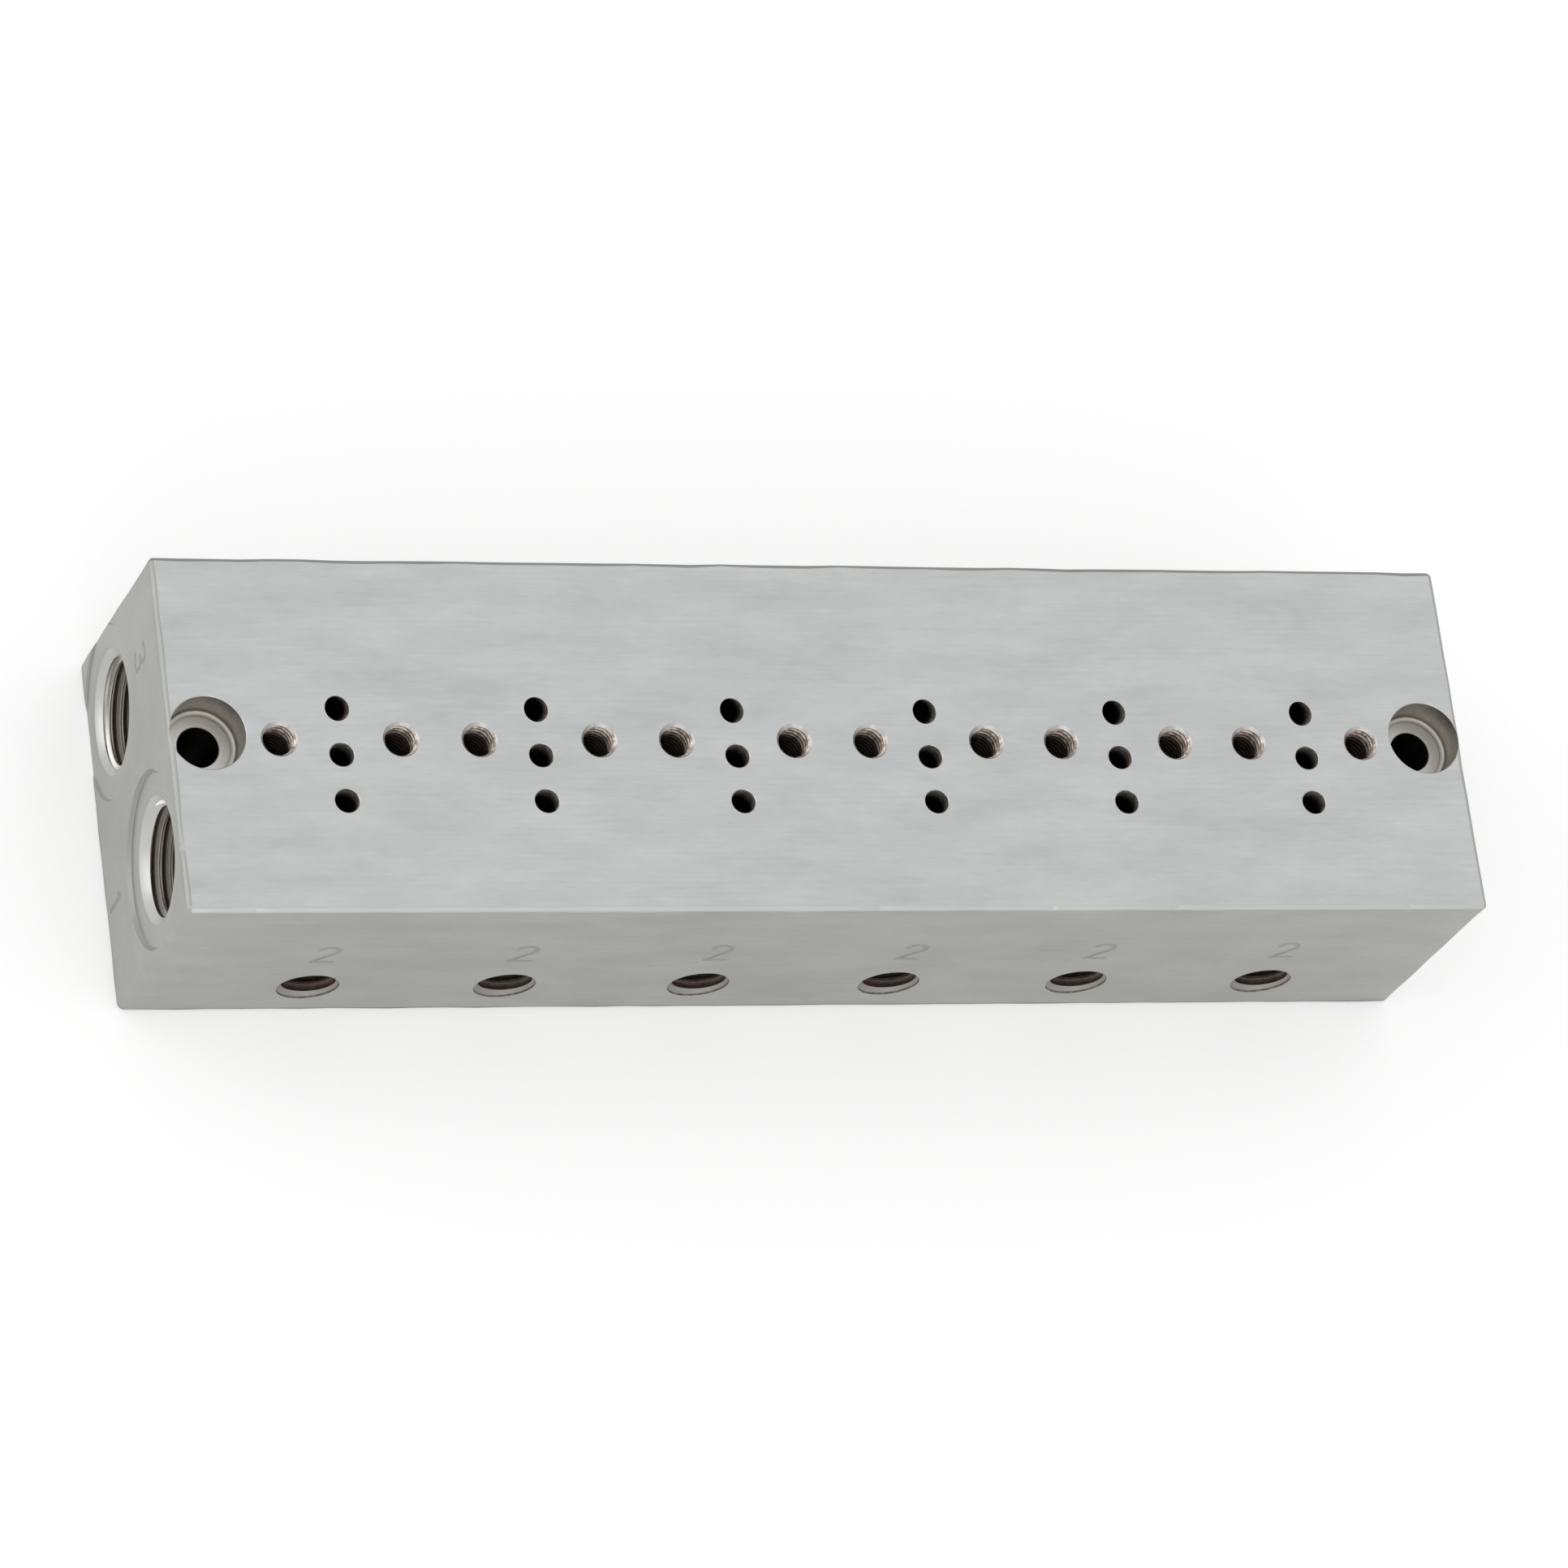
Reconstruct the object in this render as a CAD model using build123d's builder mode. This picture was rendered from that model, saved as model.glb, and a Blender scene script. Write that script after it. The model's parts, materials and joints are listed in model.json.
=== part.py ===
"""Six-station valve manifold block, drilled and tapped from one bar of aluminium.

Frame: X runs along the bar, Y across it and Z up through its thickness. The back of the bar,
which lies on its mounting surface, is at Z = 0 and the valve face is at Z = block_height.
The origin is the middle of the back face. All lengths are millimetres.

Two galleries run the whole length of the bar, one above the other on a slant, and are tapped
at both ends: port 1 is the supply and port 3 the exhaust. Each valve station has three small
mouths in a row across the valve face. The first drops into the supply gallery, the second
passes between the galleries to the station's own tapped outlet, port 2, in the long side,
and the third is drilled on a slant to reach the exhaust gallery.
"""

import os
from math import tan, radians

from build123d import *

# The bar
station_count = 6
station_pitch = 16.5
end_margin = 14.0  # end face to the centre line of the first station
block_width = 30.0
block_height = 22.0
edge_break = 0.3

# Counterbored mounting holes for M3 cap screws, one at each end of the valve face
mount_inset = 3.25  # end face to the hole's axis
mount_bore_diameter = 3.4
mount_head_diameter = 6.2
mount_head_depth = 3.0
mount_back_chamfer = 0.3

# Valve station: three mouths in a row across the valve face, and two M3 screw holes
passage_diameter = 2.0
passage_spacing = 3.9
outlet_passage_y = -1.8  # the middle mouth of the three
screw_spacing = 10.0
screw_row_y = -0.5
screw_tap_diameter = 2.5
screw_mouth_diameter = 3.0
screw_hole_depth = 7.0

# Galleries, each with a G1/8 port at both ends
gallery_diameter = 7.5
supply_gallery_y = -7.5
supply_gallery_z = 13.9
exhaust_gallery_y = 8.1
exhaust_gallery_z = 6.6
port_seat_diameter = 14.2
supply_seat_depth = 0.5
exhaust_seat_depth = 0.2  # shallow, because this seat runs out at the back edge
port_mouth_diameter = 10.4
port_tap_diameter = 8.6
port_tap_depth = 10.0

# Outlet ports, M5, one for each station in the long side, and the bore behind each
outlet_offset_x = 0.4  # the port's axis from the station's centre line
outlet_port_z = 5.3
outlet_seat_diameter = 5.1
outlet_seat_depth = 0.35
outlet_mouth_diameter = 4.9
outlet_mouth_angle = 120.0
outlet_tap_diameter = 4.2
outlet_tap_depth = 7.5
outlet_bore_diameter = 3.0
outlet_bore_reach = 0.5  # full-diameter drilling past the far side of the passage that it meets

chamfer_angle = 90.0  # of the countersinks at the end ports and screw holes
drill_point_angle = 118.0
run_out = 1.0  # length by which a cutter stands out of the face that it enters

# Places that follow from the sizes above
block_length = (station_count - 1) * station_pitch + 2 * end_margin
mount_x = block_length / 2 - mount_inset
supply_passage_y = outlet_passage_y - passage_spacing
exhaust_passage_y = outlet_passage_y + passage_spacing
supply_passage_depth = block_height - supply_gallery_z
outlet_passage_depth = block_height - outlet_port_z
outlet_bore_depth = (
    block_width / 2 + outlet_passage_y + passage_diameter / 2 + outlet_bore_reach
)
station_xs = [
    (index - (station_count - 1) / 2) * station_pitch for index in range(station_count)
]


def cone_height(wide, narrow, angle):
    """Axial length of a cone between two diameters, for its included angle in degrees."""
    return (wide - narrow) / 2 / tan(radians(angle / 2))


def drilled_hole(diameter, depth, mouth=0, mouth_angle=chamfer_angle, seat=0, seat_depth=0):
    """Cutter for a blind drilled hole: its mouth is at the origin and it runs down -Z.

    The hole is as deep as the shoulder of the drill, with the cone of its point beyond.
    The mouth may be countersunk, and a seat wider than the mouth may be cut flat around it.
    """
    widest = max(diameter, mouth, seat)
    outline = [(0, run_out), (widest / 2, run_out)]
    if seat:
        outline += [(seat / 2, -seat_depth)]
    if mouth:
        countersink_end = seat_depth + cone_height(mouth, diameter, mouth_angle)
        outline += [(mouth / 2, -seat_depth), (diameter / 2, -countersink_end)]
    point_end = depth + cone_height(diameter, 0, drill_point_angle)
    outline += [(diameter / 2, -depth), (0, -point_end)]
    with BuildPart() as cutter:
        with BuildSketch(Plane.XZ):
            with BuildLine():
                Polyline(*outline, close=True)
            make_face()
        revolve(axis=Axis.Z)
    return cutter.part


def port_places(gallery_y, gallery_z):
    """Planes of a gallery's two ports: on the end faces, with Z out of the block."""
    return [
        Plane((side * block_length / 2, gallery_y, gallery_z), x_dir=(0, 1, 0), z_dir=(side, 0, 0))
        for side in (-1, 1)
    ]


def at_stations(y, z, offset=0.0):
    """One point for each station."""
    return [(x + offset, y, z) for x in station_xs]


screw_hole = drilled_hole(screw_tap_diameter, screw_hole_depth, screw_mouth_diameter)
supply_port, exhaust_port = (
    drilled_hole(
        port_tap_diameter,
        port_tap_depth,
        port_mouth_diameter,
        chamfer_angle,
        port_seat_diameter,
        seat_depth,
    )
    for seat_depth in (supply_seat_depth, exhaust_seat_depth)
)
outlet_port = drilled_hole(
    outlet_tap_diameter,
    outlet_tap_depth,
    outlet_mouth_diameter,
    outlet_mouth_angle,
    outlet_seat_diameter,
    outlet_seat_depth,
)
outlet_bore = drilled_hole(outlet_bore_diameter, outlet_bore_depth)

with BuildPart() as manifold_block:
    # The sawn and milled bar, with its edges broken
    with BuildSketch(Plane.XY):
        Rectangle(block_length, block_width)
    extrude(amount=block_height)
    chamfer(manifold_block.edges(), length=edge_break)

    # Mounting holes, counterbored from the valve face and deburred at the back
    with Locations((-mount_x, 0, block_height), (mount_x, 0, block_height)):
        CounterBoreHole(
            radius=mount_bore_diameter / 2,
            counter_bore_radius=mount_head_diameter / 2,
            counter_bore_depth=mount_head_depth,
            depth=block_height,
        )
    with Locations((-mount_x, 0, 0), (mount_x, 0, 0)):
        Cone(
            bottom_radius=mount_bore_diameter / 2 + mount_back_chamfer,
            top_radius=mount_bore_diameter / 2,
            height=mount_back_chamfer,
            align=(Align.CENTER, Align.CENTER, Align.MIN),
            mode=Mode.SUBTRACT,
        )

    # Galleries from end to end, then their tapped ports
    for gallery_y, gallery_z, end_port in (
        (supply_gallery_y, supply_gallery_z, supply_port),
        (exhaust_gallery_y, exhaust_gallery_z, exhaust_port),
    ):
        with BuildSketch(Plane.YZ.offset(-block_length / 2)):
            with Locations((gallery_y, gallery_z)):
                Circle(gallery_diameter / 2)
        extrude(amount=block_length, mode=Mode.SUBTRACT)
        with Locations(*port_places(gallery_y, gallery_z)):
            add(end_port, mode=Mode.SUBTRACT)

    # Outlet ports in the long side, below the supply gallery
    outlet_planes = [
        Plane(point, x_dir=(1, 0, 0), z_dir=(0, -1, 0))
        for point in at_stations(-block_width / 2, outlet_port_z, outlet_offset_x)
    ]
    with Locations(*outlet_planes):
        add(outlet_bore, mode=Mode.SUBTRACT)
        add(outlet_port, mode=Mode.SUBTRACT)

    # Straight passages from the valve face: supply, and outlet between the two galleries
    with Locations(*at_stations(supply_passage_y, block_height)):
        Hole(radius=passage_diameter / 2, depth=supply_passage_depth)
    with Locations(*at_stations(outlet_passage_y, block_height)):
        Hole(radius=passage_diameter / 2, depth=outlet_passage_depth)

    # Slanted exhaust passages, each aimed from its mouth at the axis of the exhaust gallery
    slant = Vector(0, exhaust_passage_y - exhaust_gallery_y, block_height - exhaust_gallery_z)
    passage_planes = [
        Plane(point, x_dir=(1, 0, 0), z_dir=slant.normalized())
        for point in at_stations(exhaust_gallery_y, exhaust_gallery_z)
    ]
    with Locations(*passage_planes):
        Cylinder(
            radius=passage_diameter / 2,
            height=slant.length + run_out,
            align=(Align.CENTER, Align.CENTER, Align.MIN),
            mode=Mode.SUBTRACT,
        )

    # Blind screw holes beside each row of mouths
    screw_points = [
        point
        for side in (-1, 1)
        for point in at_stations(screw_row_y, block_height, side * screw_spacing / 2)
    ]
    with Locations(*screw_points):
        add(screw_hole, mode=Mode.SUBTRACT)

manifold_block.part.label = "manifold_block"

os.makedirs("parts", exist_ok=True)
export_step(manifold_block.part, "parts/manifold_block.step")
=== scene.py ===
# %% [markdown]
# # A six-station valve manifold block, finished in Blender
#
# The real object is one bar of clear-anodised aluminium, drilled and tapped to carry air or oil
# to six small valves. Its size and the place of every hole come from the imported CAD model. This
# file cuts the same block again with round tools, true threads and stamped numbers, and then
# gives each kind of surface the finish that its cutter leaves.

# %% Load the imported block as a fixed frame
import json
from math import cos, pi, radians, sin, tan
from random import Random

import bmesh
import bpy
from mathutils import Matrix, Vector, noise


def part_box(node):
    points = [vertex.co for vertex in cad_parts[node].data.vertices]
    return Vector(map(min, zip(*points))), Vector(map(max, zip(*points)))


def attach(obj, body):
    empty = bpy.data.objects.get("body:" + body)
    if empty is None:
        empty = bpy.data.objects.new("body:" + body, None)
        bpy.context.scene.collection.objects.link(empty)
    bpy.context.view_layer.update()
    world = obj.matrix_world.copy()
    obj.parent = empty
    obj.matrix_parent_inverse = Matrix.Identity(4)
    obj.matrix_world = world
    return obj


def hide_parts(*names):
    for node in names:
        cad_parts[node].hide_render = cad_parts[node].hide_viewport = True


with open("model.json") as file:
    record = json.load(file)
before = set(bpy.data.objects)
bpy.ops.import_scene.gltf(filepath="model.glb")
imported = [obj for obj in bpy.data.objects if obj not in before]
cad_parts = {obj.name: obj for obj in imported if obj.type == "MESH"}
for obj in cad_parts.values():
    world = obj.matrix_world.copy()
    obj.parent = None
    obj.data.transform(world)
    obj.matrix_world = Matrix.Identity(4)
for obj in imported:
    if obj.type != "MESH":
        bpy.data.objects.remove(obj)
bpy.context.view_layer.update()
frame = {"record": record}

# %% [markdown]
# ## The camera
#
# The block is looked at from its left front, well above the valve face, through a long lens, so
# its parallel edges stay nearly parallel. The camera can be placed by typing a rotation, but
# the place of a tripod is easier to read: the point aimed at, the direction and distance to
# stand at, and how far the camera is turned about its own axis.

# %% Place the camera
MM = 0.001
aim_point = Vector((-0.31, 0.24, 11.0)) * MM
stand_azimuth = radians(225.797)
stand_elevation = radians(60.486)
stand_distance = 697.01 * MM
camera_roll = radians(40.378)

to_camera = Vector((
    cos(stand_elevation) * cos(stand_azimuth),
    cos(stand_elevation) * sin(stand_azimuth),
    sin(stand_elevation),
))
camera_data = bpy.data.cameras.new("camera")
camera_data.sensor_width = 36.0
camera_data.lens = 196.74
camera_data.clip_start = 0.01
camera = bpy.data.objects.new("camera", camera_data)
camera.location = aim_point + to_camera * stand_distance
upright = to_camera.to_track_quat("Z", "Y").to_matrix()
camera.rotation_euler = (upright @ Matrix.Rotation(camera_roll, 3, "Z")).to_euler()
bpy.context.scene.collection.objects.link(camera)
bpy.context.scene.camera = camera
print("camera at", [round(value, 3) for value in camera.location])

# %% [markdown]
# ## Finishes
#
# Every surface is the same aluminium, but each was made by another tool: the valve face is
# ground lengthwise, the sides are drawn, the ends are milled, and the holes are drilled, turned
# or tapped. One recipe makes the outside faces. It is a metal whose colour and roughness are
# varied by long and short scratches along the grain and by a broad soft unevenness, and whose
# surface is raised and lowered by the same grain. The noises read the object's own coordinates
# in millimetres, so the grain keeps its real scale from every side.

# %% A few words for building node trees
def plug(tree, socket, value):
    """Link another node's output to a socket, or set the socket's own value."""
    if isinstance(value, bpy.types.NodeSocket):
        tree.links.new(value, socket)
    else:
        socket.default_value = value


def node(tree, kind, settings=(), **inputs):
    """Add a node with these settings, and fill its inputs by name."""
    made = tree.nodes.new(kind)
    for name, value in dict(settings).items():
        setattr(made, name, value)
    for name, value in inputs.items():
        plug(tree, made.inputs[name.replace("_", " ")], value)
    return made


def reckon(tree, operation, first, second=0.0):
    """A number worked out from one or two others."""
    made = node(tree, "ShaderNodeMath", {"operation": operation})
    plug(tree, made.inputs[0], first)
    plug(tree, made.inputs[1], second)
    return made.outputs["Value"]


def reckon_vector(tree, operation, first, second=(0.0, 0.0, 0.0)):
    """A vector worked out from one or two others."""
    made = node(tree, "ShaderNodeVectorMath", {"operation": operation})
    plug(tree, made.inputs[0], first)
    plug(tree, made.inputs[1], second)
    return made.outputs["Vector"]


def spread(tree, value, low, high):
    """Map a value from 0..1 to low..high."""
    return node(tree, "ShaderNodeMapRange", Value=value, To_Min=low, To_Max=high).outputs["Result"]


def fade_in(tree, value, start, end):
    """0 below start and 1 above end, with a soft change between them."""
    return node(
        tree, "ShaderNodeMapRange", {"interpolation_type": "SMOOTHSTEP"},
        Value=value, From_Min=start, From_Max=end,
    ).outputs["Result"]


def place_in_mm(tree):
    """Object coordinates in millimetres."""
    place = tree.nodes.new("ShaderNodeTexCoord").outputs["Object"]
    return reckon_vector(tree, "MULTIPLY", place, (1 / MM, 1 / MM, 1 / MM))


def streaks(tree, place, per_mm, detail=4.0):
    """Noise from 0 to 1 with so many cycles per millimetre along X, Y and Z."""
    stretched = reckon_vector(tree, "MULTIPLY", place, per_mm)
    return node(tree, "ShaderNodeTexNoise", Vector=stretched, Scale=1.0, Detail=detail).outputs["Fac"]


def metal_material(name):
    """A new bare metal, with its node tree and its shader."""
    finish = bpy.data.materials.new(name)
    finish.use_nodes = True
    shader = finish.node_tree.nodes["Principled BSDF"]
    shader.inputs["Metallic"].default_value = 1.0
    return finish, finish.node_tree, shader


def dress(tree, shader, shade, colour, grain, roughness, relief_mm=0.0):
    """Give a shader a shaded colour, and the roughness and relief of its grain."""
    plug(tree, shader.inputs["Base Color"], reckon_vector(tree, "MULTIPLY", shade, colour))
    plug(tree, shader.inputs["Roughness"], spread(tree, grain, *roughness))
    if relief_mm:
        relief = node(tree, "ShaderNodeBump", Height=grain, Distance=relief_mm * MM)
        plug(tree, shader.inputs["Normal"], relief.outputs["Normal"])


# %% The recipe for worked aluminium
SHORT_ALONG, SHORT_ACROSS = 5, 0.6  # the short scratches' pace against that of the long ones
CLOUDS_PER_MM = (0.12, 0.35, 0.35)  # broad soft patches, drawn out along the bar
# The darker foot is painted shade along the bottom of the sides and ends, where they meet the floor.
FOOT_SHADE_HEIGHTS = (0.4, 0.8)  # the darker foot of the sides ends between these heights


def aluminium(name, colour, grain_per_mm, roughness, grain_depth, tone=0.06, foot=1.0):
    """A metal with a directional grain and a soft, blotchy unevenness of tone.

    The grain is given as cycles per millimetre along X, Y and Z and a depth in millimetres, the
    roughness as a lowest and a highest value, and the tone as the share that the colour may
    vary. The foot is the share of its colour that is left at Z = 0: painted shade along the
    bottom, where the block meets the floor.
    """
    finish, tree, shader = metal_material(name)
    place = place_in_mm(tree)
    along, *across = grain_per_mm
    long_grain = streaks(tree, place, grain_per_mm)
    short_pace = (SHORT_ALONG * along, *(SHORT_ACROSS * value for value in across))
    short_grain = streaks(tree, place, short_pace)
    grain = reckon(tree, "MULTIPLY", reckon(tree, "ADD", long_grain, short_grain), 0.5)
    cloud = streaks(tree, place, CLOUDS_PER_MM, 5.0)
    grain_shade = spread(tree, grain, 1 - tone, 1 + tone)
    shade = reckon(tree, "MULTIPLY", grain_shade, spread(tree, cloud, 1 - tone, 1 + tone))
    if foot < 1:
        # Painted shade: the colour darkens towards Z = 0.
        height = node(tree, "ShaderNodeSeparateXYZ", Vector=place).outputs["Z"]
        foot_shade = spread(tree, fade_in(tree, height, *FOOT_SHADE_HEIGHTS), foot, 1.0)
        shade = reckon(tree, "MULTIPLY", shade, foot_shade)
    dress(tree, shader, shade, colour, grain, roughness, grain_depth)
    return finish


# %% [markdown]
# ## Faces, edges and plain cuts
#
# The faces differ in the run of their grain: marks of grinding and drawing follow the bar, and
# the milled ends have none. The sides and the ends are darker than the valve face by painted
# shade. Filed edges and turned countersinks are lighter. The edges at the ends of the valve face
# are darker than those along its front, and the edges under and behind the block, the stamped
# strokes and the step of each port's seat are darker still, as painted shade. One finish with a
# mask could show them all, but the mask would have to know where every edge is. Here each face
# of the mesh carries a finish of its own.

# %% Make the finishes that are the same at every depth
EVEN_GRAIN, SOFT_GRAIN = (2.0, 2.0, 2.0), (1.5, 1.5, 1.5)
OUTSIDE_FINISHES = [
    aluminium(
        "ground_valve_face", (0.525, 0.54, 0.535), (0.12, 4.0, 4.0), (0.34, 0.46), 0.006, 0.16
    ),
    # The long side and the end face are darker than the valve face by painted shade. Their last
    # number is the share of colour left at the foot, also painted shade.
    aluminium(
        "drawn_long_side", (0.387, 0.39, 0.365), (0.12, 3.0, 3.0), (0.36, 0.48), 0.004, 0.18, 0.6
    ),
    aluminium(
        "milled_end_face", (0.38, 0.383, 0.358), (2.5, 2.5, 2.5), (0.36, 0.48), 0.002, 0.12, 0.6
    ),
    aluminium("filed_edge", (0.53, 0.535, 0.52), EVEN_GRAIN, (0.4, 0.55), 0.006),
    aluminium("darker_end_edge", (0.4, 0.4, 0.385), EVEN_GRAIN, (0.45, 0.6), 0.006),
    # Painted shade for the edges under and behind the block.
    aluminium("edge_painted_shade", (0.28, 0.28, 0.262), EVEN_GRAIN, (0.45, 0.6), 0.006),
]
VALVE_FACE, LONG_SIDE, END_FACE, FILED_EDGE, END_TOP_EDGE, SHADED_EDGE = range(len(OUTSIDE_FINISHES))
plain_cuts = [
    aluminium("burnished_metal", (0.5, 0.5, 0.49), SOFT_GRAIN, (0.3, 0.4), 0.003),
    aluminium("dull_wall", (0.31, 0.295, 0.285), EVEN_GRAIN, (0.45, 0.6), 0.006),
    # Painted shade for the stamped strokes and for the step of each port's seat.
    aluminium("recess_painted_shade", (0.32, 0.323, 0.3), EVEN_GRAIN, (0.4, 0.55), 0.004),
    aluminium("cut_ring", (0.47, 0.46, 0.425), SOFT_GRAIN, (0.34, 0.44), 0.003),
]
print("finishes so far:", len(bpy.data.materials))

# %% [markdown]
# ## Turned surfaces
#
# Where a cutter has spun, at the spot faces of the ports and on the floors of the mounting
# pockets, it leaves fine rings about its own axis. A wave texture set to rings can draw them, but
# its rings are perfectly even. Here the distance from the axis goes through the same noise as the
# grain of the faces, so the rings are uneven in the same way. Each axis needs a finish of its own.

# %% The recipe for a turned surface
RING_DEPTH = 0.006  # height of the cutter's rings, in millimetres
RING_TONE = (0.9, 1.1)  # the share by which they darken and lighten the metal


def distance_from_axis(tree, place, axis_point, along):
    """How far a place is from an axis, given by a point on it and the direction's name."""
    across = tuple(0.0 if letter == along else 1.0 for letter in "XYZ")
    offset = reckon_vector(tree, "SUBTRACT", place, axis_point)
    distance = node(tree, "ShaderNodeVectorMath", {"operation": "LENGTH"})
    plug(tree, distance.inputs[0], reckon_vector(tree, "MULTIPLY", offset, across))
    return distance.outputs["Value"]


def turned_aluminium(name, colour, axis_point, along, rings_per_mm, roughness):
    """A metal with the rings of a cutter about an axis."""
    finish, tree, shader = metal_material(name)
    radius = distance_from_axis(tree, place_in_mm(tree), axis_point, along)
    along_radius = node(tree, "ShaderNodeCombineXYZ", X=radius).outputs["Vector"]
    rings = streaks(tree, along_radius, (rings_per_mm, 1.0, 1.0), 2.0)
    dress(tree, shader, spread(tree, rings, *RING_TONE), colour, rings, roughness, RING_DEPTH)
    return finish


# %% [markdown]
# ## The finish inside the holes
#
# A drilled wall is as bright as the faces at its mouth, but little light reaches it further
# down, and what is left there of oil and oxide makes it browner. Light alone could show that,
# but in holes this small it needs very many bounces to settle, so the metal itself darkens with
# depth. The depth is the distance to the nearest outside face, which the block's own coordinates
# give with one subtraction on each axis.

# %% Depth below the nearest outside face
block_low, block_high = (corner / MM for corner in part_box("manifold_block"))
block_size = block_high - block_low
half_size = block_size / 2
block_middle = (block_high + block_low) / 2
up, front = Vector((0, 0, 1)), Vector((0, -1, 0))
print("block, millimetres:", [round(value, 2) for value in block_size])


def depth_in_block(tree, place):
    """Distance in millimetres from the nearest face of the block, growing inwards."""
    centred = reckon_vector(tree, "SUBTRACT", place, block_middle)
    inset = reckon_vector(tree, "SUBTRACT", half_size, reckon_vector(tree, "ABSOLUTE", centred))
    split = node(tree, "ShaderNodeSeparateXYZ", Vector=inset).outputs
    return reckon(tree, "MINIMUM", reckon(tree, "MINIMUM", split["X"], split["Y"]), split["Z"])


# %% Metal that darkens down a hole
SCRAPES_PER_MM = (2.2, 2.2, 2.2)
PATCH_EDGES = (0.35, 0.65)  # the scrape noise between which a patch goes from dark to light


def between(tree, share, first, second):
    """A colour that goes from the first to the second as share goes from 0 to 1."""
    mixed = node(tree, "ShaderNodeVectorMath", {"operation": "MULTIPLY_ADD"})
    plug(tree, mixed.inputs[0], share)
    plug(tree, mixed.inputs[1], [last - start for start, last in zip(first, second)])
    plug(tree, mixed.inputs[2], first)
    return mixed.outputs["Vector"]


def bored_metal(name, mouth_colour, deep_colour, fade_depths, roughness, film=0.0, mottle=0.1):
    """Aluminium that goes from mouth_colour to deep_colour between two depths.

    The film is the share of its light that a coat of oil scatters instead of mirroring it, and
    the mottle is the share by which scraped patches are darker or lighter.
    """
    finish, tree, shader = metal_material(name)
    place = place_in_mm(tree)
    darkened = fade_in(tree, depth_in_block(tree, place), *fade_depths)
    colour = between(tree, darkened, mouth_colour, deep_colour)
    scrape = streaks(tree, place, SCRAPES_PER_MM, 3.0)
    patches = spread(tree, fade_in(tree, scrape, *PATCH_EDGES), 1 - mottle, 1 + mottle)
    dress(tree, shader, patches, colour, scrape, roughness)
    shader.inputs["Metallic"].default_value = 1 - film
    return finish


bored_walls = [
    bored_metal(
        "drilled_wall", (0.34, 0.3, 0.27), (0.012, 0.009, 0.007), (0.1, 1.7), (0.45, 0.6), 0.4, 0.3
    ),
    bored_metal("chamfered_rim", (0.5, 0.5, 0.48), (0.18, 0.17, 0.15), (0.2, 0.9), (0.35, 0.45)),
    bored_metal("milled_pocket", (0.42, 0.385, 0.35), (0.36, 0.325, 0.29), (0.0, 3.0), (0.3, 0.42)),
    bored_metal(
        "fine_thread", (0.5, 0.42, 0.36), (0.014, 0.009, 0.007), (0.2, 2.4), (0.3, 0.45), 0.15, 0.5
    ),
    bored_metal(
        "outlet_thread", (0.2, 0.155, 0.135), (0.03, 0.022, 0.019), (0.3, 3.2), (0.3, 0.45), 0.5, 0.15
    ),
]
print("finishes so far:", len(bpy.data.materials))

# %% [markdown]
# ## Threads with painted light and shade
#
# In the end ports the flanks that face the mouth carry a painted highlight, and the bottoms of the
# grooves carry painted shade, which deepens further down the port as well. Two finishes on two
# sets of faces could show that, but the change is softer than any edge between faces. So one
# finish works it out for each point: from the way the surface faces, from its distance to the
# port's axis, and from the depth below the end face.

# %% The recipe for a thread with painted light on its flanks and painted shade in its grooves
# The flank colours are painted light near the mouth and painted shade deep inside. The oil below is
# painted shade at the bottom of the grooves, and a rubbed flank is one that faces the mouth and takes
# a painted highlight.
FLANK_LIGHT_AND_SHADE = ((0.98, 0.96, 0.92), (0.07, 0.06, 0.05))  # near the mouth and deep inside
FLANK_DEPTHS = (2.8, 5.0)  # the depths between which the first goes over into the second
GROOVE_SHADE_COLOUR = (0.12, 0.085, 0.07)
GROOVE_SHADE_LEVELS = (0.38, 0.52)  # heights over the core between which bare metal goes over into oil
LIT_FLANK_LEANS = (0.05, 0.4)  # how far a flank has to face the mouth to be rubbed
UNLIT_FLANK_SHARE = 0.35  # the brightness left where it faces away
THREAD_SCRAPES_PER_MM = (3.0, 3.0, 3.0)
THREAD_ROUGHNESS = (0.18, 0.3)
THREAD_METAL = 0.8  # the rest is the sheen of a film of oil


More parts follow.
